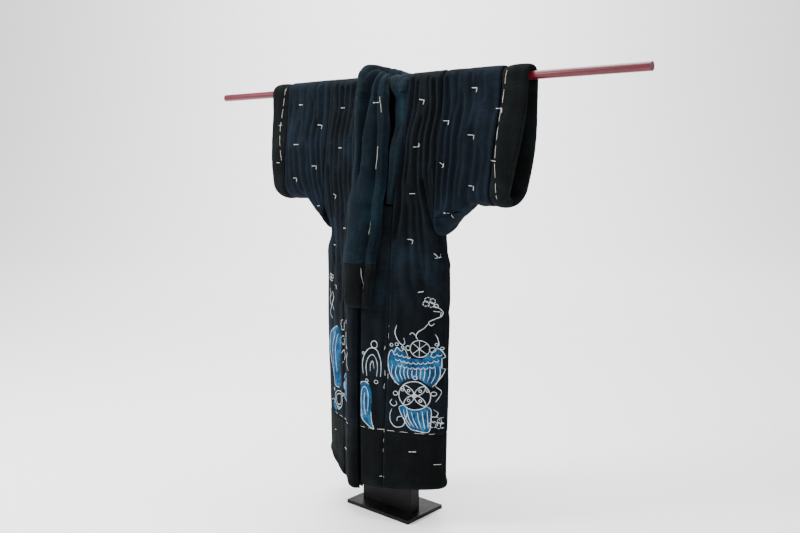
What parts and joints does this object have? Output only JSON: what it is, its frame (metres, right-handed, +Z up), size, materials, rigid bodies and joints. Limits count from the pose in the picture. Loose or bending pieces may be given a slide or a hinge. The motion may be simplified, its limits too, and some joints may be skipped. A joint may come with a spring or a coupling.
{
  "type": "padded sleeping kimono on a display stand",
  "caption": "Padded indigo sleeping kimono (yogi) hung open-sleeved on a red lacquered rod, on a black board stand with a flat base plate.",
  "frame": {"origin": "centre of the base plate's underside, where the stand rests on the floor", "axes": "+X along the rod, towards the wearer's left sleeve; -Y is the garment's front; +Z up"},
  "size_m": [2.08, 0.3342, 1.7758],
  "materials": {
    "indigo_cloth": "plain-woven cotton, deep indigo, resist pattern near the hem",
    "navy_cloth": "plain-woven cotton, navy indigo, soft vertical folds",
    "collar_cloth": "plain-woven cotton, worn teal-navy",
    "black_cloth": "plain-woven cotton, near black",
    "red_lacquer": "glossy red lacquer",
    "black_paint": "satin black"
  },
  "bodies": {
    "root": {"body_left": "indigo_cloth", "body_right": "indigo_cloth", "okumi_left": "indigo_cloth", "okumi_right": "indigo_cloth", "sleeve_left": "navy_cloth", "sleeve_right": "navy_cloth", "gusset_left": "navy_cloth", "gusset_right": "navy_cloth", "collar_over": "collar_cloth", "collar_under": "collar_cloth", "collar_neck": "collar_cloth", "collar_cover": "black_cloth", "cuff_left": "black_cloth", "cuff_right": "black_cloth", "hem_front_left": "black_cloth", "hem_front_right": "black_cloth", "hem_okumi_left": "black_cloth", "hem_okumi_right": "black_cloth", "hem_back_left": "black_cloth", "hem_back_right": "black_cloth", "rod": "red_lacquer", "base_plate": "black_paint", "post": "black_paint", "post_head": "black_paint"}
  },
  "joints": []
}
